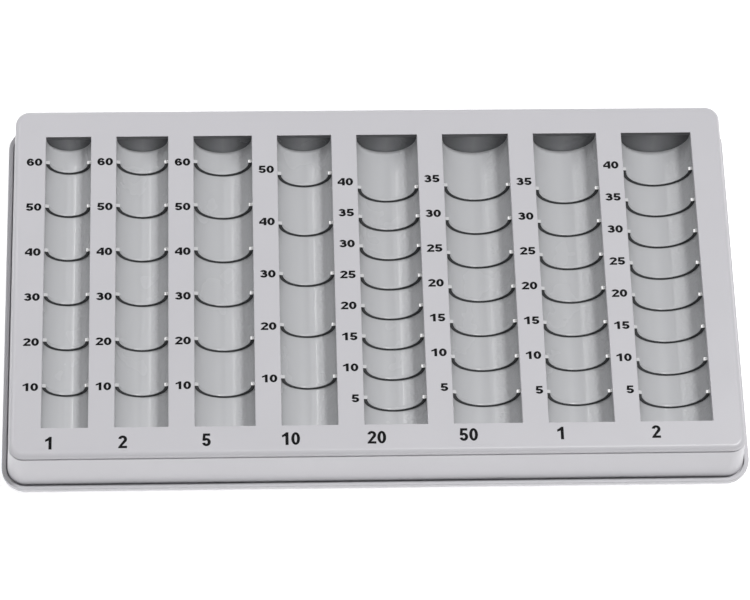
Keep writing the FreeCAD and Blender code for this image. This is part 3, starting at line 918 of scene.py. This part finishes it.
def figureOutlines(figure, face):
    # closed outlines of a figure one high, the outer one first
    w, s, b = face["width"], face["stem"], face["bar"]
    half = w / 2
    if figure == "0":
        return [bow(half, 0.5, half, 0.5, 0, 345, 23), bow(half, 0.5, half - s, 0.5 - b, 0, 345, 23)]
    if figure == "1":
        right = half + 0.9 * s
        left = right - s
        return [[(left, 0), (right, 0), (right, 1), (left + 0.25 * s, 1), (left - 0.4 * s, 0.87),
                 (left - 1.1 * s, 0.78), (left - 1.1 * s, 0.60), (left, 0.70)]]
    if figure == "2":
        outer = bow(half, 0.70, half, 0.30, 172, -32)
        inner = bow(half, 0.70, half - s, 0.30 - b, -32, 172)
        return [outer + [(0.44 * w, b), (w, b), (w, 0), (0, 0), (0, 0.09)] + inner]
    if figure == "3":
        return [bow(0.48 * w, 0.715, 0.45 * w, 0.285, 165, -25)
                + bow(half, 0.315, half, 0.315, 35, -165)
                + bow(half, 0.315, half - s, 0.315 - b, -165, 80)
                + [(0.36 * w, 0.63 - b), (0.36 * w, 0.43 + b)]
                + bow(0.48 * w, 0.715, 0.45 * w - s, 0.285 - b, -80, 165)]
    if figure == "4":
        stem, arm = 0.60 * w, 0.20
        outer = [(stem, 0), (stem + s, 0), (stem + s, arm), (w, arm), (w, arm + b), (stem + s, arm + b),
                 (stem + s, 1), (stem - 0.02, 1), (0, arm + b + 0.03), (0, arm), (stem, arm)]
        return [outer, [(stem, arm + b), (stem, 0.74), (0.27 * w, arm + b)]]
    if figure == "5":
        back = 0.13 * w
        top = [(back, 1), (0.93 * w, 1), (0.93 * w, 1 - b), (back + 0.8 * s, 1 - b), (back + 0.72 * s, 0.625)]
        return [top + bow(half, 0.325, half, 0.325, 112, -165)
                + bow(half, 0.325, half - s, 0.325 - b, -165, 140) + [(0.05 * w, 0.44)]]
    outer = bow(half, 0.5, half, 0.5, 28, 270, 18) + bow(half, 0.325, half, 0.325, -80, 100)
    return [outer + bow(half, 0.5, half - s, 0.5 - b, 178, 32),
            bow(half, 0.325, half - s, 0.325 - 0.95 * b, 0, 345, 23)]


def makeFigures(text, height, face, anchor, right=False):
    # the anchor is the foot's left end, or the middle of the right edge
    curve = bpy.data.curves.new("figures", "CURVE")
    curve.dimensions = "2D"
    curve.fill_mode = "BOTH"
    curve.extrude = cover["ink"] / 2
    step = face["width"] + face["gap"]
    width = height * (step * len(text) - face["gap"])
    startX = anchor[0] - width if right else anchor[0]
    startY = anchor[1] - height / 2 if right else anchor[1]
    for index, figure in enumerate(text):
        for outline in figureOutlines(figure, face):
            spline = curve.splines.new("POLY")
            spline.points.add(len(outline) - 1)
            for point, (x, y) in zip(spline.points, outline):
                point.co = (startX + height * (x + step * index), startY + height * y, 0, 1)
            spline.use_cyclic_u = True
    label = bpy.data.objects.new("figures", curve)
    scene.collection.objects.link(label)
    activate(label)
    bpy.ops.object.convert(target="MESH")
    label = bpy.context.object
    label.location = (0, 0, coverHigh.z - cover["ink"] / 2)
    settle()
    return label


def makePrinting():
    countLabels, valueLabels = [], []
    for coin in coinNames:
        left = windowOf(coin)[0]
        step, first, pitch, room = counts[coin]
        for rib in range(cells[coin][1]):
            away = (rib - (cells[coin][1] - 1) / 2) * pitch
            place = (left - room, first + rib * pitch + printing["spread"] * away ** 2 - printing["sink"])
            countLabels.append(makeFigures(str(step * (rib + 1)), printing["height"], wideFace, place, True))
        text, shift, foot = values[coin]
        valueLabels.append(makeFigures(text, printing["valueHeight"], plainFace, (left + shift, foot)))
    for name, labels in (("printedCounts", countLabels), ("printedValues", valueLabels)):
        joined = joinPieces(labels[0], labels[1:], name)
        tidyMesh(joined)
        finishPiece(joined, printInk, "tray", [])


makePrinting()
print("printing made")

# Studio: pale floor that throws light back up, a soft lamp above at the right, a narrow one
# at the left that draws a line of light down each trough, one above for the edges, and a
# wide weak one at the left
studio = {
    "floorSize": 6.0,
    "floorColour": (0.90, 0.90, 0.90),
    "floorRoughness": 0.9,
    "floorGlow": 0.95,         # light that the floor adds to the object's sides
    "floorSeen": 0.50,         # the same where the lens looks at it
    "worldStrength": 0.08,
}
lamps = {  # place, size and power
    "keyLamp": ((0.80, 0.15, 2.00), (0.22, 0.22), 29.6),
    "sideLamp": ((-0.45, 0.27, 0.47), (0.014, 0.24), 0.62),
    "topLamp": ((0.22, 0.0, 2.10), (0.40, 0.08), 5.5),
    "fillLamp": ((-0.90, 0.0, 1.30), (1.20, 1.20), 4.0),
}


def addLamp(name, place, size, power):
    bpy.ops.object.light_add(type="AREA", location=place)
    lamp = bpy.context.object
    lamp.name = name
    lamp.data.shape = "RECTANGLE"
    lamp.data.size, lamp.data.size_y = size
    lamp.data.energy = power
    # aimed at the origin, with its long side lying along the troughs
    lamp.rotation_euler = (math.asin(-place[1] / Vector(place).length), math.atan2(place[0], place[2]), 0)


def makeFloor():
    bpy.ops.mesh.primitive_plane_add(size=studio["floorSize"], location=(0, 0, 0))
    ground = bpy.context.object
    ground.name = "studioFloor"
    material, tree, shader = newMaterial("floorPaper")
    shader.inputs["Base Color"].default_value = (*studio["floorColour"], 1)
    shader.inputs["Roughness"].default_value = studio["floorRoughness"]
    shader.inputs["Specular IOR Level"].default_value = 0.0
    # the paper is lifted to white where the lens, gloss or glass looks at it
    light = tree.nodes.new("ShaderNodeLightPath")
    seen = mathNode(tree, "MAXIMUM", light.outputs["Is Camera Ray"], light.outputs["Is Glossy Ray"])
    seen = mathNode(tree, "MAXIMUM", seen, light.outputs["Is Transmission Ray"])
    glow = rangeNode(tree, seen, 0.0, 1.0, studio["floorGlow"], studio["floorSeen"])
    shader.inputs["Emission Color"].default_value = (1, 1, 1, 1)
    tree.links.new(glow, shader.inputs["Emission Strength"])
    ground.data.materials.append(material)


def makeWorld():
    world = bpy.data.worlds.new("studioWorld")
    scene.world = world
    world.use_nodes = True
    tree = world.node_tree
    background = tree.nodes["Background"]
    light = tree.nodes.new("ShaderNodeLightPath")
    seen = mathNode(tree, "MAXIMUM", light.outputs["Is Camera Ray"], light.outputs["Is Transmission Ray"])
    strength = tree.nodes.new("ShaderNodeMix")
    tree.links.new(seen, strength.inputs["Factor"])
    strength.inputs["A"].default_value = studio["worldStrength"]
    strength.inputs["B"].default_value = 1.0
    background.inputs["Color"].default_value = (1, 1, 1, 1)
    tree.links.new(strength.outputs["Result"], background.inputs["Strength"])


makeFloor()
makeWorld()
for name, (place, size, power) in lamps.items():
    addLamp(name, place, size, power)

# Camera, matched to the photograph's corners and ribs
lens = {"place": (-0.0525, -0.5335, 1.0970), "turn": (26.05, -2.02, -1.61), "length": 156.74, "sensor": 36.0}
bpy.ops.object.camera_add(location=lens["place"], rotation=[math.radians(angle) for angle in lens["turn"]])
camera = bpy.context.object
camera.data.lens = lens["length"]
camera.data.sensor_width = lens["sensor"]
scene.camera = camera
print("studio made")
